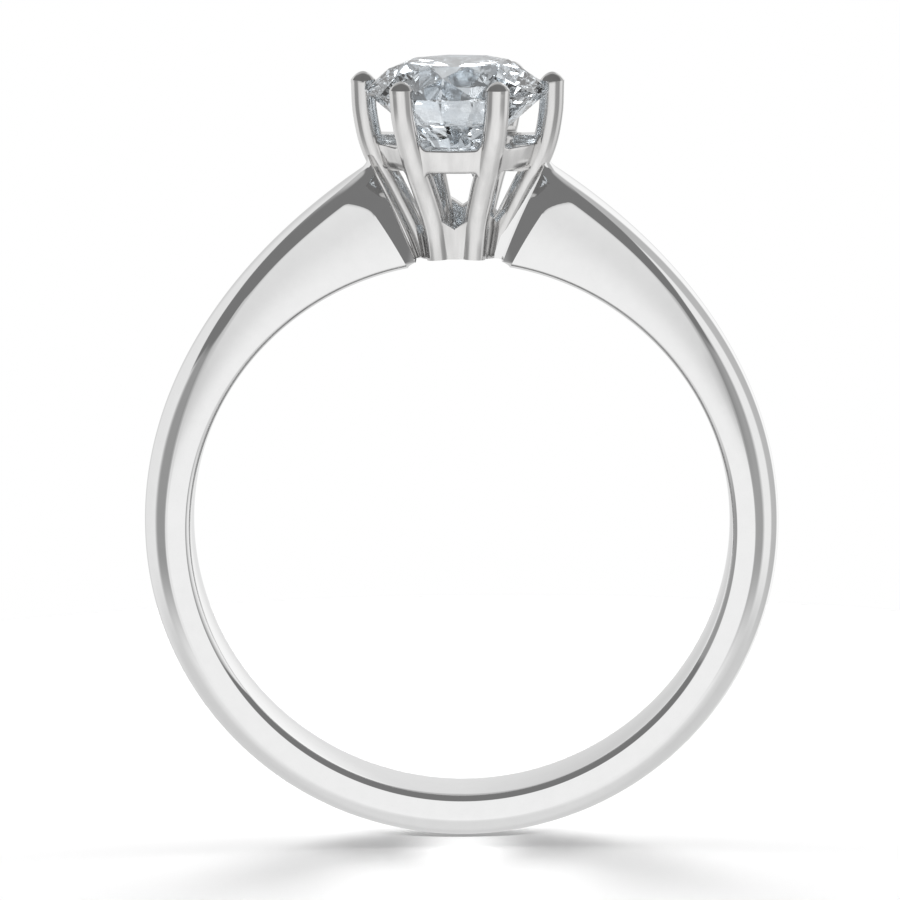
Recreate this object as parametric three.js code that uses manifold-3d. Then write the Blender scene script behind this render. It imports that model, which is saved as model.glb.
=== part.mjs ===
// Six-claw solitaire engagement ring. Millimetres, +Z up.
// The origin is the centre of the finger hole. +Y runs along the finger and +Z points
// from the finger to the stone, so the ring stands on the bottom of its shank.

import * as THREE from 'three';
import { ConvexGeometry } from 'three/addons/geometries/ConvexGeometry.js';
import { mergeVertices } from 'three/addons/utils/BufferGeometryUtils.js';
import Module from 'manifold-3d';

// ---------------------------------------------------------------- driving dimensions

const FIT_GAP = 0.02; // clearance between two pieces that are soldered or set together

const BORE_RADIUS = 8.5; // finger hole of 17 mm, US size 6.5
const BORE_EDGE_RADIUS = 0.15; // comfort rounding where the bore meets the side faces
const BORE_CUTTER_LENGTH = 8;
const BORE_CUTTER_SIDES = 240;
const FOOT_RADIUS = 8.66; // the head ends this far from the bore's axis, clear of the finger

const SHANK_HALF_WIDTH = 1.35;
const SHANK_CREST_RADIUS = 10.04; // outermost line of the shank, below the shoulders
const SHOULDER_SWELL = 0.22; // slow part of the crest's rise towards the head
const SHOULDER_RISE = 1.66; // and its steep part
const DOME_HEIGHT_LOW = 0.76; // side face edge to crest, round the lower half
const DOME_HEIGHT_SHOULDER = 0.46;
const SHANK_END_ANGLE = 81.5; // polar angle of the end faces at the bore, degrees
const SHANK_END_LEAN = 1.35; // degrees that the end face opens for each mm outwards
const SHANK_END_HALF_WIDTH = 1.0; // the ends are bevelled to this where they meet the claws
const SHANK_END_BEVEL = 0.45; // length of that bevel along the bore
const SHANK_STATIONS = 30; // cross-sections along each half, beyond the bevel

const CLAW_COUNT = 6;
const CLAW_RADIUS = 0.385;
const CLAW_TIP_DOME = 0.27;
const CLAW_SIDES = 14;
const CLAW_STATIONS = 12;
const HEAD_TURN = -5; // degrees that the head is turned about +Z from the shank

const STONE_RADIUS = 2.86;
const TABLE_HEIGHT = 14.77; // top of the stone above the finger hole's centre
const TABLE_RATIO = 0.57;
const CROWN_ANGLE = 34.6;
const PAVILION_ANGLE = 40.9;
const GIRDLE_THICKNESS = 0.1;
const STAR_RATIO = 0.52; // how far the star facets reach from the table to the girdle
const LOWER_HALF_RATIO = 0.76; // how far the lower halves reach from the girdle to the culet
const STONE_TURN = 11;

const RAIL_RADIUS = 2.5; // outer face of the gallery rail at mid height
const RAIL_THICKNESS = 0.85;
const RAIL_BOTTOM = 11.52;
const RAIL_TOP = 12.28;
const RAIL_EDGE_RADIUS = 0.16;
const RAIL_LEAN = 0.3; // millimetres outwards for each millimetre up
const RAIL_SIDES = 48;

const BASE_TOP = 9.85; // the collet between the claws' feet ends here
const BASE_TOP_RADIUS = 1.42;
const BASE_BOTTOM_RADIUS = 1.1;
const BASE_BOTTOM = 8.1; // below the cut that fits it to the finger hole
const BASE_RIM_BEVEL = 0.1;
const BASE_DISH = 0.3; // depth of the hollow in its top
const BASE_DISH_EDGE = 0.55; // the hollow's wall ends at this share of the rim's radius
const BASE_SIDES = 36;

// Claw centrelines, as distance from the head's axis and height. The two claws beside the
// shoulders open a little sooner than the four at the front and back.
const SIDE_CLAW_LINE = [
  [0.92, 8.0], [1.1, 8.7], [1.4, 9.5], [2.02, 10.75], [2.66, 12.0], [2.92, 13.1], [2.98, 14.17],
];
const FACE_CLAW_LINE = [
  [0.98, 8.0], [1.08, 8.7], [1.28, 9.7], [1.78, 10.8], [2.44, 12.05], [2.86, 13.2], [3.0, 14.17],
];

// ---------------------------------------------------------------- helpers

const wasm = await Module();
wasm.setup();

const radians = THREE.MathUtils.degToRad;

function toSolid(geometry) {
  const bare = geometry.clone();
  for (const name of Object.keys(bare.attributes)) {
    if (name !== 'position') bare.deleteAttribute(name);
  }
  const merged = mergeVertices(bare, 1e-5);
  return new wasm.Manifold(new wasm.Mesh({
    numProp: 3,
    vertProperties: new Float32Array(merged.attributes.position.array),
    triVerts: new Uint32Array(merged.index.array),
  }));
}

function toGeometry(solid) {
  const mesh = solid.getMesh();
  const geometry = new THREE.BufferGeometry();
  geometry.setAttribute('position', new THREE.BufferAttribute(mesh.vertProperties, 3));
  geometry.setIndex(new THREE.BufferAttribute(mesh.triVerts, 1));
  geometry.computeVertexNormals();
  return geometry;
}

// A closed body through rings of equal point count, closed by a fan at each end. The last
// fan meets at the apex, if there is one. Seen along the travel, rings run anticlockwise.
function loft(rings, apex = null) {
  const count = rings[0].length;
  const positions = rings.flat().flatMap((point) => point.toArray());
  const index = [];
  for (let k = 0; k + 1 < rings.length; k += 1) {
    for (let i = 0; i < count; i += 1) {
      const a = k * count + i;
      const b = k * count + (i + 1) % count;
      index.push(a, b + count, b);
      index.push(a, a + count, b + count);
    }
  }
  const addCap = (ring, firstIndex, forward, tip) => {
    const middle = new THREE.Vector3();
    ring.forEach((point) => middle.addScaledVector(point, 1 / count));
    const centre = tip ?? middle;
    const centreIndex = positions.length / 3;
    positions.push(...centre.toArray());
    for (let i = 0; i < count; i += 1) {
      const a = firstIndex + i;
      const b = firstIndex + (i + 1) % count;
      index.push(centreIndex, forward ? b : a, forward ? a : b);
    }
  };
  addCap(rings[0], 0, false, null);
  addCap(rings.at(-1), (rings.length - 1) * count, true, apex);
  const geometry = new THREE.BufferGeometry();
  geometry.setAttribute('position', new THREE.Float32BufferAttribute(positions, 3));
  geometry.setIndex(index);
  return geometry;
}

// A solid of revolution about +Z from [radius, height] points.
function lathe(points, segments) {
  const profile = points.map(([radius, height]) => new THREE.Vector2(radius, height));
  const geometry = new THREE.LatheGeometry(profile, segments);
  geometry.rotateX(Math.PI / 2);
  return toSolid(geometry);
}

// An arc of an ellipse between two angles in degrees, as [x, y] points.
function arc(centreX, centreY, radiusX, radiusY, start, end, steps) {
  return Array.from({ length: steps + 1 }, (_, i) => {
    const angle = radians(start + (end - start) * i / steps);
    return [centreX + radiusX * Math.cos(angle), centreY + radiusY * Math.sin(angle)];
  });
}

function footCutter() {
  const radius = FOOT_RADIUS;
  return toSolid(new THREE.CylinderGeometry(radius, radius, BORE_CUTTER_LENGTH, BORE_CUTTER_SIDES));
}

// ---------------------------------------------------------------- shank

const smooth = THREE.MathUtils.smoothstep;

// Distance from the origin to the crest, at a polar angle measured up from +X or -X.
function crestRadius(angle) {
  const share = Math.max(0, angle) / SHANK_END_ANGLE;
  return SHANK_CREST_RADIUS + SHOULDER_SWELL * share ** 1.2 + SHOULDER_RISE * share ** 3.1;
}

// Half of one cross-section as [radius, y] points, from the bore out to the crest.
function shankHalfSection(angle, halfWidth) {
  const crest = crestRadius(angle);
  const dome = THREE.MathUtils.lerp(DOME_HEIGHT_LOW, DOME_HEIGHT_SHOULDER, smooth(angle, 10, 50));
  const edge = BORE_EDGE_RADIUS;
  const rounding = arc(BORE_RADIUS + edge, halfWidth - edge, edge, edge, 180, 90, 3);
  const outside = arc(crest - dome, 0, dome, halfWidth, 90, 0, 6);
  return [...rounding, ...outside];
}

// The ends are planed to lean with the claws, so a point's angle depends on its radius too.
function shankRing(side, fromEnd, along) {
  const nominal = -90 + along * (SHANK_END_ANGLE + 90);
  const share = Math.min(1, fromEnd / SHANK_END_BEVEL);
  const halfWidth = THREE.MathUtils.lerp(SHANK_END_HALF_WIDTH, SHANK_HALF_WIDTH, share);
  const half = shankHalfSection(nominal, halfWidth);
  const mirrored = half.slice(0, -1).reverse().map(([radius, y]) => [radius, -y]);
  return [...half, ...mirrored].map(([radius, y]) => {
    const endAngle = SHANK_END_ANGLE - SHANK_END_LEAN * (radius - BORE_RADIUS);
    const angle = radians(-90 + along * (endAngle + 90));
    return new THREE.Vector3(side * radius * Math.cos(angle), y, radius * Math.sin(angle));
  });
}

function shankBody() {
  const halfLength = radians(SHANK_END_ANGLE + 90) * BORE_RADIUS;
  const plainSteps = Array.from({ length: SHANK_STATIONS + 1 }, (_, i) => {
    return THREE.MathUtils.lerp(SHANK_END_BEVEL, halfLength, i / SHANK_STATIONS);
  });
  const stations = [0, ...plainSteps];
  const left = stations.map((s) => shankRing(-1, s, 1 - s / halfLength));
  const right = stations.slice(0, -1).reverse().map((s) => shankRing(1, s, 1 - s / halfLength));
  return toSolid(loft([...left, ...right]));
}

// ---------------------------------------------------------------- claws

const clawTurn = (index) => HEAD_TURN + index * 360 / CLAW_COUNT;

// One claw: a round wire on a bent centreline, closed by a shallow dome at its tip.
function clawBody(index, radius) {
  const standsBesideShank = index % 3 === 0;
  const line = standsBesideShank ? SIDE_CLAW_LINE : FACE_CLAW_LINE;
  const points = line.map(([out, height]) => new THREE.Vector3(out, 0, height));
  const curve = new THREE.CatmullRomCurve3(points);
  const ringAt = (centre, tangent, ringRadius) => Array.from({ length: CLAW_SIDES }, (_, i) => {
    const angle = 2 * Math.PI * i / CLAW_SIDES;
    const across = new THREE.Vector3(tangent.z, 0, -tangent.x);
    return centre.clone()
      .addScaledVector(across, ringRadius * Math.cos(angle))
      .add(new THREE.Vector3(0, -ringRadius * Math.sin(angle), 0));
  });
  const rings = Array.from({ length: CLAW_STATIONS + 1 }, (_, k) => {
    const share = k / CLAW_STATIONS;
    return ringAt(curve.getPointAt(share), curve.getTangentAt(share), radius);
  });
  const neck = curve.getPointAt(1);
  const dome = CLAW_TIP_DOME + radius - CLAW_RADIUS;
  for (const lift of [0.35, 0.65, 0.88]) {
    const centre = neck.clone().add(new THREE.Vector3(0, 0, dome * lift));
    rings.push(ringAt(centre, new THREE.Vector3(0, 0, 1), radius * Math.sqrt(1 - lift)));
  }
  const body = loft(rings, neck.clone().add(new THREE.Vector3(0, 0, dome)));
  body.rotateZ(radians(clawTurn(index)));
  return toSolid(body);
}

// ---------------------------------------------------------------- stone

// Corner points of a round brilliant. Widening the stone gives the seat cut in the claws.
function stonePoints(widening) {
  const radius = STONE_RADIUS;
  const table = radius * TABLE_RATIO;
  const crownSlope = Math.tan(radians(CROWN_ANGLE));
  const pavilionSlope = Math.tan(radians(PAVILION_ANGLE));
  const girdleTop = TABLE_HEIGHT - (radius - table) * crownSlope;
  const girdleBottom = girdleTop - GIRDLE_THICKNESS;
  const culet = girdleBottom - radius * pavilionSlope;
  const halfStep = radians(22.5);
  const points = [];
  const add = (turn, out, height) => {
    const grown = out === 0 ? 0 : out + widening;
    const angle = radians(STONE_TURN - 90) + turn;
    const lift = Math.sign(height - girdleTop + GIRDLE_THICKNESS / 2) * widening;
    points.push(new THREE.Vector3(grown * Math.cos(angle), grown * Math.sin(angle), height + lift));
  };
  const tableApothem = table * Math.cos(halfStep);
  const starOut = tableApothem + STAR_RATIO * (radius - tableApothem);
  const starHeight = TABLE_HEIGHT - (starOut * Math.cos(halfStep) - table) * crownSlope;
  const lowerOut = radius * (1 - LOWER_HALF_RATIO);
  const lowerHeight = culet + lowerOut * Math.cos(halfStep) * pavilionSlope;
  for (let k = 0; k < 8; k += 1) {
    const turn = 2 * halfStep * k;
    add(turn, table, TABLE_HEIGHT);
    add(turn + halfStep, starOut, starHeight);
    add(turn + halfStep, lowerOut, lowerHeight);
  }
  const girdleSides = 32;
  for (let k = 0; k < girdleSides; k += 1) {
    const turn = 2 * Math.PI * k / girdleSides;
    add(turn, radius, girdleTop);
    add(turn, radius, girdleBottom);
  }
  add(0, 0, culet);
  return points;
}

function stoneBody(widening = 0) {
  return toSolid(new ConvexGeometry(stonePoints(widening)));
}

// ---------------------------------------------------------------- rail and base

// The rail leans outwards with the claws and runs unbroken behind them.
function railBody() {
  const edge = RAIL_EDGE_RADIUS;
  const middle = (RAIL_BOTTOM + RAIL_TOP) / 2;
  const inner = RAIL_RADIUS - RAIL_THICKNESS;
  const outline = [
    ...arc(RAIL_RADIUS - edge, RAIL_BOTTOM + edge, edge, edge, -90, 0, 2),
    ...arc(RAIL_RADIUS - edge, RAIL_TOP - edge, edge, edge, 0, 90, 2),
    ...arc(inner + edge, RAIL_TOP - edge, edge, edge, 90, 180, 2),
    ...arc(inner + edge, RAIL_BOTTOM + edge, edge, edge, 180, 270, 2),
  ];
  const leaning = outline.map(([radius, height]) => {
    return [radius + RAIL_LEAN * (height - middle), height];
  });
  return lathe([...leaning, leaning[0]], RAIL_SIDES);
}

function baseBody() {
  return lathe([
    [0, BASE_BOTTOM],
    [BASE_BOTTOM_RADIUS, BASE_BOTTOM],
    [BASE_TOP_RADIUS, BASE_TOP - BASE_RIM_BEVEL],
    [BASE_TOP_RADIUS - BASE_RIM_BEVEL, BASE_TOP],
    [BASE_TOP_RADIUS * BASE_DISH_EDGE, BASE_TOP - BASE_DISH],
    [0, BASE_TOP - BASE_DISH],
  ], BASE_SIDES);
}

// ---------------------------------------------------------------- assembly

function whiteGold() {
  return new THREE.MeshStandardMaterial({ color: 0xdcdcda, metalness: 1, roughness: 0.08 });
}

function diamond() {
  return new THREE.MeshStandardMaterial({ color: 0xf4f8fc, metalness: 0, roughness: 0.02 });
}

const ring = new THREE.Group();

function addPiece(name, solid, material) {
  const mesh = new THREE.Mesh(toGeometry(solid), material);
  mesh.name = name;
  ring.add(mesh);
}

const finger = footCutter();
const seat = stoneBody(FIT_GAP);
const clawIndices = Array.from({ length: CLAW_COUNT }, (_, i) => i);
const clawSpaces = clawIndices.map((i) => clawBody(i, CLAW_RADIUS + FIT_GAP));
const withoutClaws = (solid) => clawSpaces.reduce((rest, space) => rest.subtract(space), solid);

addPiece('diamond', stoneBody(), diamond());
for (const i of clawIndices) {
  addPiece(`claw_${i + 1}`, clawBody(i, CLAW_RADIUS).subtract(finger).subtract(seat), whiteGold());
}
addPiece('gallery_rail', withoutClaws(railBody()), whiteGold());
addPiece('head_base', withoutClaws(baseBody().subtract(finger)), whiteGold());
addPiece('shank', withoutClaws(shankBody()), whiteGold());

export default ring;
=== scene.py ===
import math

import bmesh
import bpy
from mathutils import Matrix, Vector


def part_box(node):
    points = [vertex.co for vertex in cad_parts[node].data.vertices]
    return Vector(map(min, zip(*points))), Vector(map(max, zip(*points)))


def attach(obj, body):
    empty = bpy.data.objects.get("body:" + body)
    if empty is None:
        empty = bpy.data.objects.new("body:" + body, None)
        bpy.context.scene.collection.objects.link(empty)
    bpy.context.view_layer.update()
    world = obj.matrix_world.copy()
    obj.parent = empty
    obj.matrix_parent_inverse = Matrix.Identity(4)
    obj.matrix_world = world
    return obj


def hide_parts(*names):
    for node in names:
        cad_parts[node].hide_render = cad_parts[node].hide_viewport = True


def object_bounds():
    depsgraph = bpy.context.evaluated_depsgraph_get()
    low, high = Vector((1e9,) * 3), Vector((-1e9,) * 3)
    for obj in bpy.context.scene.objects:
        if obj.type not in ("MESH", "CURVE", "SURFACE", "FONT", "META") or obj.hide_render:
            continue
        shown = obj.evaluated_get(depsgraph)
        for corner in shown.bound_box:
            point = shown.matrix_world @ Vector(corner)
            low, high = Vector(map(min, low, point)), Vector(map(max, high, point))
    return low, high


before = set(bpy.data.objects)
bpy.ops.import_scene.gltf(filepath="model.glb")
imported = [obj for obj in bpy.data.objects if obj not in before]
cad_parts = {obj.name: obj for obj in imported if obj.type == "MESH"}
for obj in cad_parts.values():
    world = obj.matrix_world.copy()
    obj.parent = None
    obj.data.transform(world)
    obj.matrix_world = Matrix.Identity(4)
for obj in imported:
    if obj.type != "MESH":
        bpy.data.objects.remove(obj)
cad_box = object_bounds()

# Six-claw solitaire engagement ring. Shapes are worked out in millimetres in the frame of the
# CAD model (origin at the centre of the finger hole, +Z towards the stone, -Y to the front)
# and stored in metres. Angles are in degrees.
MM = 0.001

# ---------------------------------------------------------------- driving dimensions (mm)

BORE_RADIUS = 8.5
BORE_CROWN = 0.045  # the bore is this much tighter in its middle than near its edges
BORE_CHAMFER = 0.15
EDGE_SOFTENING = 0.02  # polishing rounds every edge by about this much

SHANK_HALF_WIDTH = 1.35
SHANK_CREST_RADIUS = 10.04
SHOULDER_SWELL = 0.22  # how far the crest rises evenly towards the head
SHOULDER_SWELL_POWER = 1.2
SHOULDER_RISE = 1.66  # and how far it climbs over the last part
SHOULDER_RISE_POWER = 3.1
DOME_HEIGHT_LOW = 0.76
DOME_HEIGHT_SHOULDER = 0.46
DOME_HEIGHT_BLEND = (8, 62)  # the angles above the ring's middle between which it changes
DOME_FULLNESS = 0.97  # 1 would meet the side faces without an edge
SIDE_ROLL_LOW = 0.02  # how far the side faces fall away towards their outer edge
SIDE_ROLL_SHOULDER = 0.1
SIDE_ROLL_BLEND = (0, 35)
SIDE_ROLL_POWER = 2.4
SHANK_END_ANGLE = 81.1  # where the shank ends at the bore, above the ring's middle
SHANK_END_LEAN = 1.35  # degrees that the end leans back for each mm outwards
SHANK_END_BEVEL = 34  # degrees by which the side faces turn in to meet the side claws
SHANK_END_BEVEL_LOW = 0.26  # length of that bevel at the bore
SHANK_END_BEVEL_HIGH = 0.56  # and at the crest
SHANK_END_CORNER = 0.55  # the bevel's edge curves round into the crest by this much
SHANK_END_TOP_HALF_WIDTH = 0.8  # what the dome narrows to where it reaches the claw
SHANK_TONGUE_HALF_WIDTH = 0.3
SHANK_TONGUE_LENGTH = 0.3  # a tongue runs this far on inside the side claw
SHANK_FLARE = 0.24  # solder fillet where the crest climbs the side claw
SHANK_FLARE_DEPTH = 0.5  # how far below the crest that fillet begins
SIDE_CLAW_REACH = 2.3  # distance of the side claws from the head's axis beside the shank's ends
SHANK_HALF_LENGTH = math.radians(SHANK_END_ANGLE + 90) * BORE_RADIUS

CLAW_COUNT = 6
CLAW_RADIUS = 0.385
CLAW_TIP_DOME = 0.27
FOOT_RADIUS = 8.66  # the head ends this far from the bore's axis, just clear of the finger
FOOT_OVERLAP = 0.3  # each wire is straight over this length before it meets its foot
HEAD_TURN = -5
# The wires' centrelines, as (distance from the head's axis, height).
SIDE_CLAW_LINE = [
    (0.92, 8.0), (1.1, 8.7), (1.4, 9.5), (2.02, 10.75), (2.66, 12.0), (2.92, 13.1), (2.98, 14.17),
]
FACE_CLAW_LINE = [
    (0.98, 8.0), (1.08, 8.7), (1.28, 9.7), (1.78, 10.8), (2.44, 12.05), (2.86, 13.2), (3.0, 14.17),
]

STONE_RADIUS = 2.86
TABLE_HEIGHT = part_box("diamond")[1].z / MM
TABLE_RATIO = 0.57
CROWN_ANGLE = 34.6
PAVILION_ANGLE = 40.9
GIRDLE_THICKNESS = 0.1
GIRDLE_SIDES = 192
STAR_RATIO = 0.52
LOWER_HALF_RATIO = 0.76
STONE_TURN = 11
SEAT_GAP = 0.02

RAIL_RADIUS = 2.5
RAIL_THICKNESS = 0.85
RAIL_BOTTOM, RAIL_TOP = (corner.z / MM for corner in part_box("gallery_rail"))
RAIL_EDGE_RADIUS = 0.1
RAIL_LEAN = 0.3
RAIL_FILLET = 0.2  # solder fillet where the rail meets a claw

# Heights of the crotches between neighbouring claws, anticlockwise from the one after claw 1.
CROTCH_HEIGHTS = [9.7, 10.0, 9.7, 9.35, 9.62, 9.78]
CROTCH_RISE = 0.5
COLLET_PROUD = 0.14  # how far the collet stands out from the claws' centrelines
COLLET_WALL = 0.35
COLLET_FLOOR = 9.0
# The collet's rolled rim, as (share of the wall inwards, extra distance inwards, height).
COLLET_RIM = [(0, 0.08, 0.03), (0.8, 0, -0.03), (1, 0, -0.1)]

# ---------------------------------------------------------------- how finely shapes are drawn

BORE_STEPS = 8
SIDE_STEPS = 26
DOME_STEPS = 22
BEVEL_STEPS = 24
SHANK_STEPS = 170
SHANK_STEP_POWER = 1.2  # above 1, the rings stand closer together near the head
CLAW_SPAN_STEPS = 14
CLAW_SIDES = 40
CLAW_TIP_STEPS = 12
RAIL_STEPS = 360
RAIL_EDGE_STEPS = 5
COLLET_STEPS = 240
COLLET_ROWS = 16

# ---------------------------------------------------------------- small helpers


def lerp(a, b, share):
    return a + (b - a) * share


def smooth(value, low, high):
    share = min(1.0, max(0.0, (value - low) / (high - low)))
    return share * share * (3 - 2 * share)


def fillet_height(gap, radius):
    """How high a fillet of that radius stands at a distance from the wall it climbs."""
    if gap >= radius:
        return 0.0
    return radius - math.sqrt(max(0.0, radius ** 2 - (radius - max(0.0, gap)) ** 2))


def polar(radius, azimuth, height):
    angle = math.radians(azimuth)
    return Vector((radius * math.cos(angle), radius * math.sin(angle), height))


def arc(centre, radii, start, end, steps):
    """Points (x, y) on an ellipse between two angles."""
    points = []
    for step in range(steps + 1):
        angle = math.radians(lerp(start, end, step / steps))
        x = centre[0] + radii[0] * math.cos(angle)
        points.append((x, centre[1] + radii[1] * math.sin(angle)))
    return points


def catmull_rom(points, per_span):
    """A smooth line through (x, y) points."""
    first = (2 * points[0][0] - points[1][0], 2 * points[0][1] - points[1][1])
    last = (2 * points[-1][0] - points[-2][0], 2 * points[-1][1] - points[-2][1])
    padded = [first, *points, last]
    line = []
    for k in range(1, len(padded) - 2):
        p0, p1, p2, p3 = padded[k - 1:k + 3]
        for step in range(per_span):
            t = step / per_span
            weights = (
                -0.5 * t + t * t - 0.5 * t ** 3,
                1 - 2.5 * t * t + 1.5 * t ** 3,
                0.5 * t + 2 * t * t - 1.5 * t ** 3,
                -0.5 * t * t + 0.5 * t ** 3,
            )
            line.append(tuple(
                sum(w * p[axis] for w, p in zip(weights, (p0, p1, p2, p3))) for axis in (0, 1)
            ))
    return [*line, points[-1]]


def skin_rings(rings, start_tip=None, end_tip=None):
    """Vertices and faces of a closed body through rings of equal point count."""
    count = len(rings[0])
    points = [point for ring in rings for point in ring]
    faces = []
    for k in range(len(rings) - 1):
        for i in range(count):
            a = k * count + i
            b = k * count + (i + 1) % count
            faces.append((a, b, b + count, a + count))
    last = (len(rings) - 1) * count
    for ring, offset, tip in ((rings[0], 0, start_tip), (rings[-1], last, end_tip)):
        points.append(tip if tip is not None else sum(ring, Vector()) / count)
        for i in range(count):
            faces.append((offset + i, offset + (i + 1) % count, len(points) - 1))
    return points, faces


def make_mesh(name, points, faces):
    """A mesh in millimetres with its faces pointing out."""
    mesh = bpy.data.meshes.new(name)
    mesh.from_pydata([tuple(point) for point in points], [], faces)
    work = bmesh.new()
    work.from_mesh(mesh)
    bmesh.ops.recalc_face_normals(work, faces=work.faces)
    work.to_mesh(mesh)
    work.free()
    return mesh


def link_object(name, mesh):
    piece = bpy.data.objects.new(name, mesh)
    bpy.context.scene.collection.objects.link(piece)
    return piece


def evaluated_mesh(piece):
    graph = bpy.context.evaluated_depsgraph_get()
    return bpy.data.meshes.new_from_object(piece.evaluated_get(graph))


def cut_away(mesh, cutter_mesh):
    """mesh less cutter_mesh, both in millimetres."""
    body = link_object("cut_body", mesh)
    cutter = link_object("cut_tool", cutter_mesh)
    modifier = body.modifiers.new("cut", "BOOLEAN")
    modifier.operation = "DIFFERENCE"
    modifier.solver = "EXACT"
    modifier.object = cutter
    result = evaluated_mesh(body)
    bpy.data.objects.remove(body)
    bpy.data.objects.remove(cutter)
    return result


def finish_piece(name, mesh, materials, node, sharp_degrees=35):
    """Scales a millimetre mesh to metres and hands it to the frame in place of a CAD node."""
    mesh.transform(Matrix.Scale(MM, 4))
    mesh.name = name
    mesh.materials.clear()
    for material in materials:
        mesh.materials.append(material)
    mesh.shade_smooth()
    mesh.set_sharp_from_angle(angle=math.radians(sharp_degrees))
    piece = link_object(name, mesh)
    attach(piece, "root")
    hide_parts(node)
    return piece


# ---------------------------------------------------------------- shank


def crest_radius(angle):
    """How far the crest is from the bore's axis, by the angle above the ring's middle."""
    share = max(0.0, angle) / SHANK_END_ANGLE
    swell = SHOULDER_SWELL * share ** SHOULDER_SWELL_POWER
    return SHANK_CREST_RADIUS + swell + SHOULDER_RISE * share ** SHOULDER_RISE_POWER


def dome_point(share, crease, crest, edge_width):
    """A point of the dome, share going from 1 at the crease to 0 at the crest."""
    full = 1 - math.sqrt(1 - DOME_FULLNESS ** 2)
    drop = (1 - math.sqrt(1 - (DOME_FULLNESS * share) ** 2)) / full
    return crest - (crest - crease) * drop, edge_width * share


def shank_half_section(angle):
    """(radius, y) points from the middle of the bore, by chamfer and side face, to the crest."""
    width = SHANK_HALF_WIDTH
    crest = crest_radius(angle)
    dome_height = lerp(DOME_HEIGHT_LOW, DOME_HEIGHT_SHOULDER, smooth(angle, *DOME_HEIGHT_BLEND))
    crease = crest - dome_height
    roll = lerp(SIDE_ROLL_LOW, SIDE_ROLL_SHOULDER, smooth(angle, *SIDE_ROLL_BLEND))
    flat = width - BORE_CHAMFER
    points = [
        (BORE_RADIUS + BORE_CROWN * (k / BORE_STEPS) ** 2, flat * k / BORE_STEPS)
        for k in range(BORE_STEPS)
    ]
    lip = BORE_RADIUS + BORE_CROWN
    soft = EDGE_SOFTENING
    points += [
        (lip, flat - soft), (lip + soft * 0.3, flat + soft * 0.1), (lip + soft, flat + soft),
        (lip + BORE_CHAMFER - soft, width - soft), (lip + BORE_CHAMFER, width - soft * 0.3),
    ]
    inner = lip + BORE_CHAMFER + soft
    outer = crease - soft
    # The two shares next to the ends keep the shading flat right up to the edges.
    for share in (0, 0.01, *(k / SIDE_STEPS for k in range(1, SIDE_STEPS)), 0.99, 1):
        points.append((lerp(inner, outer, share), width - roll * share ** SIDE_ROLL_POWER))
    edge = width - roll
    points.append((crease - soft * 0.2, edge - soft * 0.25))
    for k in range(DOME_STEPS + 1):
        share = 0.985 * math.cos(math.radians(90 * k / DOME_STEPS))
        points.append(dome_point(share, crease, crest, edge))
    return points


def end_distance(bevel, station):
    """Distance from the end: station 0 to 1 crosses the bevel, 1 to 2 runs on to the bottom."""
    if station <= 0:
        return station
    if station <= 1:
        return bevel * station
    return lerp(bevel, SHANK_HALF_LENGTH, station - 1)


def shank_ring(side, station, tongue=False):
    """One cross-section. The side faces are bevelled towards the claw, sharply low down and
    ever more softly towards the crease, where the bevel curves round into the dome."""
    crest_bevel = SHANK_END_BEVEL_HIGH + SHANK_END_CORNER
    crest_distance = max(0.0, end_distance(crest_bevel, station))
    nominal = SHANK_END_ANGLE - (SHANK_END_ANGLE + 90) * crest_distance / SHANK_HALF_LENGTH
    half = shank_half_section(nominal)
    mirrored = [(radius, -y) for radius, y in half[-2:0:-1]]
    crest = crest_radius(nominal)
    crease = crest - DOME_HEIGHT_SHOULDER
    turn = math.sin(math.radians(HEAD_TURN))
    claw_offset = side * SIDE_CLAW_REACH * turn if tongue else 0.0
    over = max(0.0, 1 - station)
    ring = []
    for radius, y in [*half, *mirrored]:
        corner = min(1.0, max(0.0, 1 + (radius - crease) / SHANK_END_CORNER))
        share = (radius - BORE_RADIUS) / (crest - BORE_RADIUS)
        straight = lerp(SHANK_END_BEVEL_LOW, SHANK_END_BEVEL_HIGH, share)
        distance = end_distance(straight + SHANK_END_CORNER * corner ** 2, station)
        depth = straight * math.tan(math.radians(SHANK_END_BEVEL))
        depth = lerp(depth, SHANK_HALF_WIDTH - SHANK_END_TOP_HALF_WIDTH, corner ** 2)
        width = SHANK_HALF_WIDTH - depth * over ** (1 + corner)
        if tongue:
            width = SHANK_TONGUE_HALF_WIDTH
        along = 1 - distance / SHANK_HALF_LENGTH
        end_angle = SHANK_END_ANGLE - SHANK_END_LEAN * (radius - BORE_RADIUS)
        angle = math.radians(-90 + along * (end_angle + 90))
        near_crest = smooth(radius, crest - SHANK_FLARE_DEPTH, crest)
        climb = near_crest * fillet_height(distance, SHANK_FLARE)
        foot = max(0.0, FOOT_RADIUS - radius) * math.sqrt(over)
        out = radius + climb + foot
        wide = y * width / SHANK_HALF_WIDTH + claw_offset
        ring.append(Vector((side * out * math.cos(angle), wide, out * math.sin(angle))))
    return ring


def shank_side(side):
    """The rings of one half, from the tip of its tongue to the bottom of the ring."""
    tongue = [shank_ring(side, -SHANK_TONGUE_LENGTH, True), shank_ring(side, 0, True)]
    stations = [k / BEVEL_STEPS for k in range(BEVEL_STEPS)]
    stations += [1 + (k / SHANK_STEPS) ** SHANK_STEP_POWER for k in range(SHANK_STEPS + 1)]
    return tongue + [shank_ring(side, station) for station in stations]


def shank_mesh():
    left = shank_side(-1)
    right = shank_side(1)[::-1]
    return make_mesh("shank", *skin_rings(left + right[1:]))


# ---------------------------------------------------------------- claws


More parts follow.
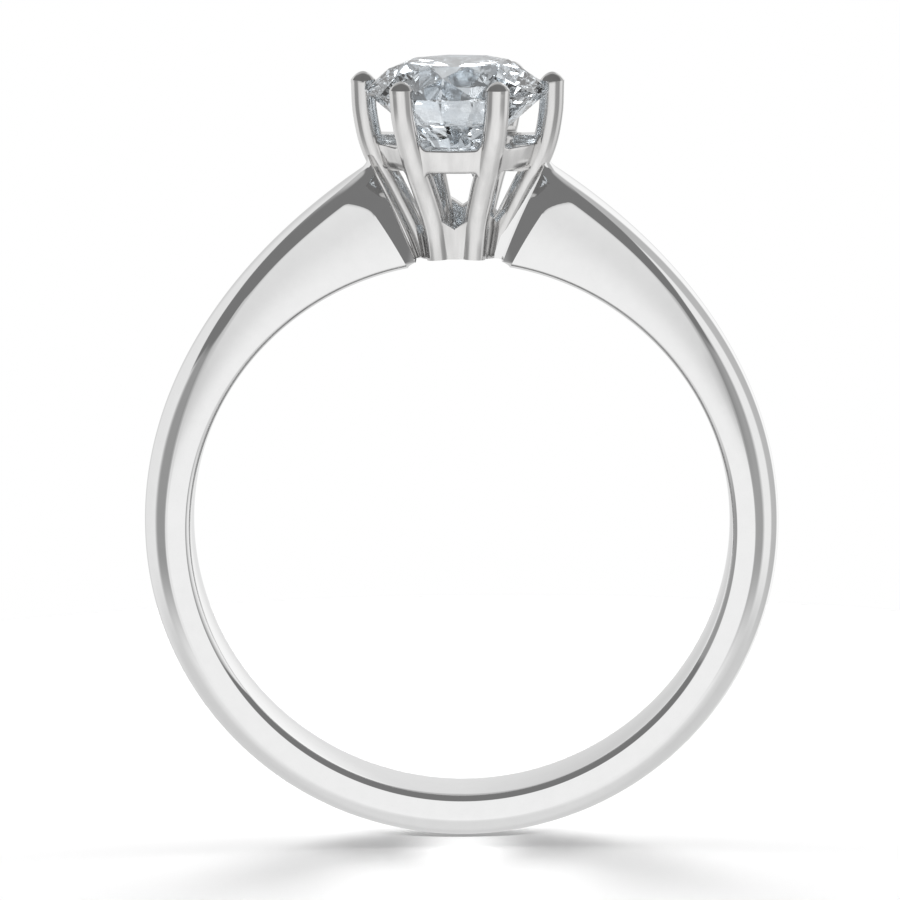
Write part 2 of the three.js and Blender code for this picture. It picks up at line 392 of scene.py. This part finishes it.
def claw_mesh(index):
    """A round wire from the bore surface to its shallow domed tip."""
    beside_shank = index % (CLAW_COUNT // 2) == 0
    line = catmull_rom(SIDE_CLAW_LINE if beside_shank else FACE_CLAW_LINE, CLAW_SPAN_STEPS)
    path = [point for point in line if point[1] > FOOT_RADIUS + FOOT_OVERLAP]
    azimuth = HEAD_TURN + index * 360 / CLAW_COUNT
    turn = Matrix.Rotation(math.radians(azimuth), 3, "Z")

    def ring_at(centre, tangent, radius):
        across = Vector((tangent.z, 0, -tangent.x))
        middle = Vector((centre[0], 0, centre[1]))
        ring = []
        for i in range(CLAW_SIDES):
            angle = 2 * math.pi * i / CLAW_SIDES
            sideways = Vector((0, radius * math.sin(angle), 0))
            ring.append(turn @ (middle + across * (radius * math.cos(angle)) + sideways))
        return ring

    tangents = []
    for k in range(len(path)):
        before, after = path[max(0, k - 1)], path[min(len(path) - 1, k + 1)]
        tangent = Vector((after[0] - before[0], 0, after[1] - before[1]))
        tangents.append(tangent.normalized())
    rings = [ring_at(centre, tangent, CLAW_RADIUS) for centre, tangent in zip(path, tangents)]

    down = turn @ -tangents[0]
    foot = []
    for point in rings[0]:
        a = down.x ** 2 + down.z ** 2
        b = 2 * (point.x * down.x + point.z * down.z)
        c = point.x ** 2 + point.z ** 2 - FOOT_RADIUS ** 2
        foot.append(point + down * ((-b - math.sqrt(b * b - 4 * a * c)) / (2 * a)))

    up = Vector((0, 0, 1))
    neck = path[-1]
    for k in range(CLAW_TIP_STEPS):
        # The first ring softens the edge between the wire and its tip.
        out = math.cos(math.radians(90 * k / CLAW_TIP_STEPS)) if k else 0.992
        lift = CLAW_TIP_DOME * (1 - out ** 2) if k else 0.008
        rings.append(ring_at((neck[0], neck[1] + lift), up, CLAW_RADIUS * out))
    tip = turn @ Vector((neck[0], 0, neck[1] + CLAW_TIP_DOME))
    return make_mesh(f"claw_{index + 1}", *skin_rings([foot, *rings], None, tip))


# ---------------------------------------------------------------- stone


def plane_through(a, b, c, inside):
    """The plane of three points, as (point, normal away from inside)."""
    normal = (b - a).cross(c - a).normalized()
    if normal.dot(inside - a) > 0:
        normal.negate()
    return a, normal


def facet_planes(widening):
    """The planes a cutter grinds on a round brilliant, as (point, outward normal)."""
    radius = STONE_RADIUS
    table = radius * TABLE_RATIO
    crown = math.tan(math.radians(CROWN_ANGLE))
    pavilion = math.tan(math.radians(PAVILION_ANGLE))
    girdle_top = TABLE_HEIGHT - (radius - table) * crown
    girdle_bottom = girdle_top - GIRDLE_THICKNESS
    culet = girdle_bottom - radius * pavilion
    half_turn = math.cos(math.radians(22.5))
    apothem = table * half_turn
    star_out = lerp(apothem, radius, STAR_RATIO)
    star_height = TABLE_HEIGHT - (star_out * half_turn - table) * crown
    lower_out = radius * (1 - LOWER_HALF_RATIO)
    lower_height = culet + lower_out * half_turn * pavilion
    inside = Vector((0, 0, girdle_top))
    planes = [(Vector((0, 0, TABLE_HEIGHT)), Vector((0, 0, 1)))]
    for k in range(8):
        azimuth = STONE_TURN - 90 + 45 * k
        girdle_point = polar(radius, azimuth, girdle_top)
        girdle_next = polar(radius, azimuth + 22.5, girdle_top)
        girdle_after = polar(radius, azimuth + 45, girdle_top)
        star_before = polar(star_out, azimuth - 22.5, star_height)
        star = polar(star_out, azimuth + 22.5, star_height)
        table_point = polar(table, azimuth, TABLE_HEIGHT)
        table_next = polar(table, azimuth + 45, TABLE_HEIGHT)
        down = Vector((0, 0, GIRDLE_THICKNESS))
        lower = polar(lower_out, azimuth + 22.5, lower_height)
        lower_before = polar(lower_out, azimuth - 22.5, lower_height)
        planes.append(plane_through(table_point, star_before, star, inside))
        planes.append(plane_through(table_point, table_next, star, inside))
        planes.append(plane_through(girdle_point, girdle_next, star, inside))
        planes.append(plane_through(girdle_after, girdle_next, star, inside))
        planes.append(plane_through(Vector((0, 0, culet)), lower_before, lower, inside))
        planes.append(plane_through(girdle_point - down, girdle_next - down, lower, inside))
        planes.append(plane_through(girdle_after - down, girdle_next - down, lower, inside))
    return [(point + normal * widening, normal) for point, normal in planes]


def stone_mesh(widening=0.0):
    """A cylinder blank with every facet plane ground off it."""
    work = bmesh.new()
    bmesh.ops.create_cone(
        work, cap_ends=True, segments=GIRDLE_SIDES, depth=6,
        radius1=STONE_RADIUS + widening, radius2=STONE_RADIUS + widening,
        matrix=Matrix.Translation((0, 0, TABLE_HEIGHT - 2)),
    )
    for point, normal in facet_planes(widening):
        geometry = work.verts[:] + work.edges[:] + work.faces[:]
        cut = bmesh.ops.bisect_plane(
            work, geom=geometry, dist=1e-6, plane_co=point, plane_no=normal, clear_outer=True,
        )["geom_cut"]
        edges = [item for item in cut if isinstance(item, bmesh.types.BMEdge) and item.is_boundary]
        if edges:
            bmesh.ops.contextual_create(work, geom=edges)
    bmesh.ops.recalc_face_normals(work, faces=work.faces)
    for face in work.faces:
        face.material_index = 1 if abs(face.normal.z) < 0.05 else 0
    mesh = bpy.data.meshes.new("diamond")
    work.to_mesh(mesh)
    work.free()
    return mesh


# ---------------------------------------------------------------- gallery rail


def claw_gap(azimuth, radius):
    """Distance in mm, round the circle of that radius, from the nearest claw's side."""
    step = 360 / CLAW_COUNT
    off = abs((azimuth - HEAD_TURN + step / 2) % step - step / 2)
    return math.radians(off) * radius - CLAW_RADIUS


def rail_mesh():
    """A leaning band with rounded edges, flared up and down where it meets each claw."""
    outer = RAIL_RADIUS
    inner = RAIL_RADIUS - RAIL_THICKNESS
    edge = RAIL_EDGE_RADIUS
    middle = (RAIL_BOTTOM + RAIL_TOP) / 2
    rings = []
    for k in range(RAIL_STEPS):
        azimuth = 360 * k / RAIL_STEPS
        flare = fillet_height(claw_gap(azimuth, outer), RAIL_FILLET)
        low = RAIL_BOTTOM - flare
        high = RAIL_TOP + flare
        outline = [
            *arc((outer - edge, low + edge), (edge, edge), -90, 0, RAIL_EDGE_STEPS),
            *arc((outer - edge, high - edge), (edge, edge), 0, 90, RAIL_EDGE_STEPS),
            *arc((inner + edge, high - edge), (edge, edge), 90, 180, RAIL_EDGE_STEPS),
            *arc((inner + edge, low + edge), (edge, edge), 180, 270, RAIL_EDGE_STEPS),
        ]
        rings.append([
            polar(radius + RAIL_LEAN * (height - middle), azimuth, height)
            for radius, height in outline
        ])
    points = [point for ring in rings for point in ring]
    count = len(rings[0])
    faces = []
    for k in range(RAIL_STEPS):
        for i in range(count):
            j = (i + 1) % count
            n = (k + 1) % RAIL_STEPS
            faces.append((k * count + i, k * count + j, n * count + j, n * count + i))
    return make_mesh("gallery_rail", points, faces)


# ---------------------------------------------------------------- collet at the claws' feet


def claw_line_radius(height):
    """How far the front and rear claws' centrelines are from the head's axis."""
    line = FACE_CLAW_LINE
    for (r0, h0), (r1, h1) in zip(line, line[1:]):
        if height <= h1:
            return lerp(r0, r1, (height - h0) / (h1 - h0))
    return line[-1][0]


def collet_mesh():
    """The web between the claws' feet, hollow above its floor and cut to the finger hole below."""
    step = 360 / CLAW_COUNT
    around = COLLET_STEPS
    rings = []
    for k in range(around):
        azimuth = HEAD_TURN + 360 * k / around
        gap_index = int((azimuth - HEAD_TURN) // step) % CLAW_COUNT
        off = abs((azimuth - HEAD_TURN) % step - step / 2) / (step / 2)
        top = CROTCH_HEIGHTS[gap_index] + CROTCH_RISE * off
        column = []
        for row in range(COLLET_ROWS + 1):
            height = lerp(FOOT_RADIUS, top, row / COLLET_ROWS)
            radius = claw_line_radius(height) + COLLET_PROUD
            point = polar(radius, azimuth, height)
            if row == 0:
                point.z = math.sqrt(FOOT_RADIUS ** 2 - point.x ** 2)
            column.append(point)
        rim = claw_line_radius(top) + COLLET_PROUD
        for wall_share, inwards, lift in COLLET_RIM:
            radius = rim - COLLET_WALL * wall_share - inwards
            column.append(polar(radius, azimuth, top + lift))
        column.append(polar((rim - COLLET_WALL) * 0.6, azimuth, lerp(top, COLLET_FLOOR, 0.75)))
        rings.append(column)
    count = len(rings[0])
    points = [point for ring in rings for point in ring]
    faces = []
    for k in range(around):
        n = (k + 1) % around
        for i in range(count - 1):
            faces.append((k * count + i, n * count + i, n * count + i + 1, k * count + i + 1))
    points.append(Vector((0, 0, FOOT_RADIUS)))
    points.append(Vector((0, 0, COLLET_FLOOR)))
    for k in range(around):
        n = (k + 1) % around
        faces.append((k * count, n * count, len(points) - 2))
        faces.append((k * count + count - 1, n * count + count - 1, len(points) - 1))
    return make_mesh("head_base", points, faces)


# ---------------------------------------------------------------- materials


DIAMOND_IOR = 2.417


def new_material(name):
    material = bpy.data.materials.new(name)
    material.use_nodes = True
    nodes = material.node_tree.nodes
    return material, nodes, material.node_tree.links, nodes["Principled BSDF"]


def add_noise(nodes, links, vector, scale, detail=2.0, roughness=0.5, seed=None):
    """A noise texture, scale in waves per metre. A seed picks another slice of it."""
    noise = nodes.new("ShaderNodeTexNoise")
    if seed is not None:
        noise.noise_dimensions = "4D"
        noise.inputs["W"].default_value = seed
    noise.inputs["Scale"].default_value = scale
    noise.inputs["Detail"].default_value = detail
    noise.inputs["Roughness"].default_value = roughness
    links.new(vector, noise.inputs["Vector"])
    return noise.outputs["Fac"]


def add_range(nodes, links, value, source, target):
    """value carried over from the source range to the target range."""
    node = nodes.new("ShaderNodeMapRange")
    node.inputs["From Min"].default_value, node.inputs["From Max"].default_value = source
    node.inputs["To Min"].default_value, node.inputs["To Max"].default_value = target
    links.new(value, node.inputs["Value"])
    return node.outputs["Result"]


def polished_metal(name, colour, seed, grain, gloss_range, waviness):
    """Rhodium-plated white gold: polishing waves, fine wear marks and streaks along the wire.

    grain stretches the streaks along Z: 1 for none, smaller for longer streaks.
    """
    material, nodes, links, shader = new_material(name)
    shader.inputs["Metallic"].default_value = 1.0
    place = nodes.new("ShaderNodeTexCoord").outputs["Object"]
    stretch = nodes.new("ShaderNodeMapping")
    stretch.inputs["Scale"].default_value = (1, 1, grain)
    links.new(place, stretch.inputs["Vector"])
    along = stretch.outputs["Vector"]

    streaks = add_noise(nodes, links, along, 2600, detail=3, seed=seed)
    tone = add_range(nodes, links, streaks, (0.3, 0.7), (1 - waviness, 1 + waviness))
    tint = nodes.new("ShaderNodeVectorMath")
    tint.operation = "SCALE"
    tint.inputs[0].default_value = colour
    links.new(tone, tint.inputs["Scale"])
    links.new(tint.outputs["Vector"], shader.inputs["Base Color"])

    hairlines = add_noise(nodes, links, along, 9000, detail=5, roughness=0.7, seed=seed + 7)
    gloss = add_range(nodes, links, hairlines, (0.35, 0.7), gloss_range)
    links.new(gloss, shader.inputs["Roughness"])

    bump = nodes.new("ShaderNodeBump")
    bump.inputs["Strength"].default_value = 0.15
    bump.inputs["Distance"].default_value = 0.004 * MM
    links.new(add_noise(nodes, links, place, 900, seed=seed + 3), bump.inputs["Height"])
    links.new(bump.outputs["Normal"], shader.inputs["Normal"])
    return material


def cut_diamond(name):
    """A colourless stone with faint clouds of tint and fine polish lines on its facets."""
    material, nodes, links, shader = new_material(name)
    shader.inputs["Transmission Weight"].default_value = 1.0
    shader.inputs["IOR"].default_value = DIAMOND_IOR
    place = nodes.new("ShaderNodeTexCoord").outputs["Object"]
    tint = nodes.new("ShaderNodeValToRGB")
    tint.color_ramp.elements[0].position = 0.35
    tint.color_ramp.elements[0].color = (0.84, 0.925, 1.0, 1.0)
    tint.color_ramp.elements[1].position = 0.65
    tint.color_ramp.elements[1].color = (0.92, 0.965, 1.0, 1.0)
    links.new(add_noise(nodes, links, place, 700), tint.inputs["Fac"])
    links.new(tint.outputs["Color"], shader.inputs["Base Color"])
    polish = nodes.new("ShaderNodeTexWave")
    polish.inputs["Scale"].default_value = 4000
    polish.inputs["Distortion"].default_value = 6
    links.new(place, polish.inputs["Vector"])
    haze = add_range(nodes, links, polish.outputs["Fac"], (0, 1), (0, 0.012))
    links.new(haze, shader.inputs["Roughness"])
    return material


def bruted_girdle(name):
    """The stone's frosted rim."""
    material, nodes, links, shader = new_material(name)
    shader.inputs["Transmission Weight"].default_value = 1.0
    shader.inputs["IOR"].default_value = DIAMOND_IOR
    shader.inputs["Base Color"].default_value = (0.9, 0.94, 0.98, 1.0)
    place = nodes.new("ShaderNodeTexCoord").outputs["Object"]
    grain = add_noise(nodes, links, place, 20000)
    links.new(add_range(nodes, links, grain, (0, 1), (0.25, 0.5)), shader.inputs["Roughness"])
    return material


# ---------------------------------------------------------------- the object

head_metal = polished_metal("head_metal", (0.76, 0.755, 0.75), 3.0, 0.07, (0.07, 0.2), 0.1)
shank_metal = polished_metal("shank_metal", (0.88, 0.88, 0.88), 11.0, 1.0, (0.02, 0.06), 0.012)
diamond_clear = cut_diamond("diamond_clear")
diamond_girdle = bruted_girdle("diamond_girdle")

SHANK_SHARP_ANGLE = 25
STONE_SHARP_ANGLE = 1  # every facet edge is sharp

finish_piece(
    "shank_polished", shank_mesh(), [shank_metal], "shank", SHANK_SHARP_ANGLE,
)
for claw in range(CLAW_COUNT):
    notched = cut_away(claw_mesh(claw), stone_mesh(SEAT_GAP))
    finish_piece(f"claw_wire_{claw + 1}", notched, [head_metal], f"claw_{claw + 1}")
finish_piece("rail_band", rail_mesh(), [head_metal], "gallery_rail")
finish_piece("collet", collet_mesh(), [head_metal], "head_base")
finish_piece(
    "round_brilliant", stone_mesh(), [diamond_clear, diamond_girdle],
    "diamond", STONE_SHARP_ANGLE,
)

# ---------------------------------------------------------------- studio

FLOOR_HEIGHT = cad_box[0].z
FLOOR_RADIUS = 38 * MM  # the paper's near part; beyond it the tent carries on in the same white


def make_floor():
    """Plain paper, which the metal and the stone do not mirror: they mirror the tent's table."""
    work = bmesh.new()
    bmesh.ops.create_circle(
        work, cap_ends=True, segments=128, radius=FLOOR_RADIUS,
        matrix=Matrix.Translation((0, 0, FLOOR_HEIGHT)),
    )
    mesh = bpy.data.meshes.new("floor")
    work.to_mesh(mesh)
    work.free()
    floor = link_object("floor", mesh)
    material, *_, shader = new_material("floor_paper")
    shader.inputs["Base Color"].default_value = (0.93, 0.93, 0.93, 1)
    shader.inputs["Roughness"].default_value = 0.9
    shader.inputs["Specular IOR Level"].default_value = 0.0
    mesh.materials.append(material)
    floor.visible_glossy = False
    floor.visible_transmission = False


# The light tent, by azimuth in degrees from the front towards the right: how bright its walls
# are, how bright the table is below them, how high the walls reach before the dark top, and
# what is left of the walls' brightness at that height.
TENT_WALLS = [
    (-180, 0.8), (-165, 0.66), (-150, 0.84), (-100, 0.88), (-90, 0.42), (-85, 0.34), (-55, 0.34),
    (-42, 0.84), (-20, 0.97), (20, 0.97), (28, 0.8), (36, 0.4), (72, 0.38), (84, 0.92),
    (112, 0.92), (118, 0.54), (145, 0.52), (151, 1.05), (164, 1.0), (172, 0.8), (180, 0.8),
]
TENT_TABLE = [
    (-180, 0.7), (-120, 0.68), (-90, 0.7), (-60, 0.85), (-40, 0.95), (0, 0.99), (40, 0.92),
    (60, 0.76), (90, 0.66), (130, 0.68), (180, 0.7),
]
TENT_TOP = [
    (-180, 22), (-165, 30), (-150, 30), (-120, 25), (-100, 16), (-85, 20), (-50, 14), (-25, 11),
    (0, 9), (25, 11), (50, 14), (70, 18), (84, 28), (105, 36), (145, 42), (160, 34), (180, 22),
]
# How much of the walls' light is left above the height of the table, by azimuth.
TENT_FADE = [(-180, 1.0), (-60, 1.0), (-35, 0.66), (35, 0.62), (60, 1.0), (180, 1.0)]
TENT_DARK = 0.2  # the tent's top
TENT_OVERHEAD = 0.55  # a soft lamp high behind the ring
TENT_NADIR = 0.78  # the table right under the ring
# Elevations between which one part of the tent blends into the next.
TENT_NADIR_EDGE = (-74, -50)
TENT_TABLE_EDGE = (-34, -14)
TENT_FADE_EDGE = (-9, 9)
TENT_TOP_SOFTNESS = 1.5
# The soft lamp's edges: how far behind and above, and how far to the sides.
TENT_LAMP_FRONT = (0.26, 0.4)
TENT_LAMP_SIDES = (0.45, 0.7)


class DirectionNodes:
    """Small arithmetic on the direction that a ray leaves in, for the light tent."""

    def __init__(self, tree):
        self.tree = tree
        place = tree.nodes.new("ShaderNodeTexCoord")
        split = tree.nodes.new("ShaderNodeSeparateXYZ")
        tree.links.new(place.outputs["Generated"], split.inputs["Vector"])
        self.x = split.outputs["X"]
        self.y = split.outputs["Y"]
        self.z = split.outputs["Z"]

    def math(self, operation, a, b=None):
        node = self.tree.nodes.new("ShaderNodeMath")
        node.operation = operation
        for socket, value in zip(node.inputs, (a, b)):
            if value is None:
                continue
            if isinstance(value, (int, float)):
                socket.default_value = value
            else:
                self.tree.links.new(value, socket)
        return node.outputs["Value"]

    def ramp(self, value, low, high, start=0.0, end=1.0):
        node = self.tree.nodes.new("ShaderNodeMapRange")
        node.interpolation_type = "SMOOTHSTEP"
        self.tree.links.new(value, node.inputs["Value"])
        limits = {"From Min": low, "From Max": high, "To Min": start, "To Max": end}
        for name, number in limits.items():
            if isinstance(number, (int, float)):
                node.inputs[name].default_value = number
            else:
                self.tree.links.new(number, node.inputs[name])
        return node.outputs["Result"]

    def round_ramp(self, turn, stops, scale):
        """A value by azimuth, from (azimuth in degrees, value) stops."""
        node = self.tree.nodes.new("ShaderNodeValToRGB")
        self.tree.links.new(turn, node.inputs["Fac"])
        ramp = node.color_ramp
        while len(ramp.elements) < len(stops):
            ramp.elements.new(0.5)
        for element, (azimuth, value) in zip(ramp.elements, stops):
            element.position = azimuth / 360 + 0.5
            element.color = (value * scale, value * scale, value * scale, 1)
        return node.outputs["Color"]


def make_light_tent():
    """The world: the tent for light and reflections, and plain white behind the ring."""
    world = bpy.data.worlds.new("light_tent")
    bpy.context.scene.world = world
    world.use_nodes = True
    tree = world.node_tree
    d = DirectionNodes(tree)
    blend = d.ramp
    azimuth = d.math("ARCTAN2", d.x, d.math("MULTIPLY", d.y, -1.0))
    turn = d.math("ADD", d.math("DIVIDE", azimuth, 2 * math.pi), 0.5)
    elevation = d.math("MULTIPLY", d.math("ARCSINE", d.z), 180 / math.pi)

    walls = d.round_ramp(turn, TENT_WALLS, 1.0)
    table = d.round_ramp(turn, TENT_TABLE, 1.0)
    fade = d.round_ramp(turn, TENT_FADE, 1.0)
    below = blend(elevation, *TENT_NADIR_EDGE, TENT_NADIR, table)
    sides = d.math("MULTIPLY", walls, blend(elevation, *TENT_FADE_EDGE, 1.0, fade))
    around = blend(elevation, *TENT_TABLE_EDGE, below, sides)
    top = d.math("MULTIPLY", d.round_ramp(turn, TENT_TOP, 1 / 90), 90.0)
    height = d.math("SUBTRACT", elevation, top)
    over = blend(d.math("ABSOLUTE", d.x), *TENT_LAMP_SIDES, TENT_OVERHEAD, TENT_DARK)
    behind = d.math("MULTIPLY", d.y, d.z)
    sky = blend(behind, *TENT_LAMP_FRONT, TENT_DARK, over)
    tent = blend(height, -TENT_TOP_SOFTNESS, TENT_TOP_SOFTNESS, around, sky)
    light_path = tree.nodes.new("ShaderNodeLightPath")
    shown = blend(light_path.outputs["Is Camera Ray"], 0.0, 1.0, tent, 1.0)
    background = tree.nodes["Background"]
    tree.links.new(shown, background.inputs["Strength"])
    background.inputs["Color"].default_value = (1, 1, 1, 1)


def direction_of(azimuth, elevation):
    """Azimuth in degrees from the front (-Y) towards the right (+X), and elevation."""
    azimuth = math.radians(azimuth)
    elevation = math.radians(elevation)
    flat = math.cos(elevation)
    return Vector((flat * math.sin(azimuth), -flat * math.cos(azimuth), math.sin(elevation)))


def add_lamp(name, kind, towards, energy):
    light = bpy.data.lights.new(name, kind)
    light.energy = energy
    lamp = bpy.data.objects.new(name, light)
    bpy.context.scene.collection.objects.link(lamp)
    lamp.rotation_mode = "QUATERNION"
    lamp.rotation_quaternion = towards.to_track_quat("Z", "Y")
    lamp.visible_glossy = False
    return lamp


# Pairs of lamps behind and beside the ring: name, azimuth, elevation, spread in degrees, strength.
LAMP_PAIRS = [
    ("rear_lamp", 175, 25, 32, 0.95),
    ("side_lamp", 145, 25, 68, 1.45),
    ("wing_lamp", 115, 45, 16, 0.56),
]
# Soft fills on the paper in front of the ring: name, distance in front, cone in degrees, watts.
FLOOR_FILLS = [
    ("contact_fill", 1.9 * MM, 2.8, 0.27),
    ("front_fill", 4 * MM, 8.4, 0.08),
]
FILL_ELEVATION = 40
FILL_DISTANCE = 80 * MM
STONE_LAMP = (80, 46, 2.1)  # elevation, spread and strength of the lamp that only fills the stone


def make_lamps():
    """Lamps for the paper, and one that only fills the stone. The metal mirrors none of them."""
    for name, azimuth, elevation, spread, strength in LAMP_PAIRS:
        for side, turn in (("left", -azimuth), ("right", azimuth)):
            lamp = add_lamp(f"{name}_{side}", "SUN", direction_of(turn, elevation), strength)
            lamp.data.angle = math.radians(spread)
            lamp.visible_transmission = False
    elevation, spread, strength = STONE_LAMP
    stone_lamp = add_lamp("stone_lamp", "SUN", direction_of(0, elevation), strength)
    stone_lamp.data.angle = math.radians(spread)
    stone_lamp.visible_diffuse = False
    towards = direction_of(0, FILL_ELEVATION)
    for name, distance, cone, watts in FLOOR_FILLS:
        fill = add_lamp(name, "SPOT", towards, watts)
        fill.location = Vector((0, -distance, FLOOR_HEIGHT)) + towards * FILL_DISTANCE
        fill.data.spot_size = math.radians(cone)
        fill.data.spot_blend = 1.0
        fill.data.shadow_soft_size = MM
        fill.visible_transmission = False


CAMERA_TARGET = Vector((-0.346, 0.0, 2.381)) * MM
CAMERA_DISTANCE = 220 * MM
CAMERA_ELEVATION = 10.24
CAMERA_AZIMUTH = 0.70
CAMERA_ROLL = 0.55
CAMERA_LENS = 278.07  # mm, on a sensor 36 mm wide


def make_camera():
    data = bpy.data.cameras.new("camera")
    data.lens = CAMERA_LENS
    data.sensor_width = 36
    data.clip_start = 0.001
    data.clip_end = 10
    camera = bpy.data.objects.new("camera", data)
    bpy.context.scene.collection.objects.link(camera)
    back = direction_of(CAMERA_AZIMUTH, CAMERA_ELEVATION)
    camera.location = CAMERA_TARGET + back * CAMERA_DISTANCE
    camera.rotation_mode = "QUATERNION"
    aim = (-back).to_track_quat("-Z", "Y")
    roll = Matrix.Rotation(math.radians(-CAMERA_ROLL), 3, "Z").to_quaternion()
    camera.rotation_quaternion = aim @ roll
    bpy.context.scene.camera = camera


make_floor()
make_light_tent()
make_lamps()
make_camera()

scene = bpy.context.scene
scene.view_settings.view_transform = "Standard"
scene.cycles.max_bounces = 32
scene.cycles.transmission_bounces = 32
scene.cycles.glossy_bounces = 16
scene.cycles.use_denoising = True
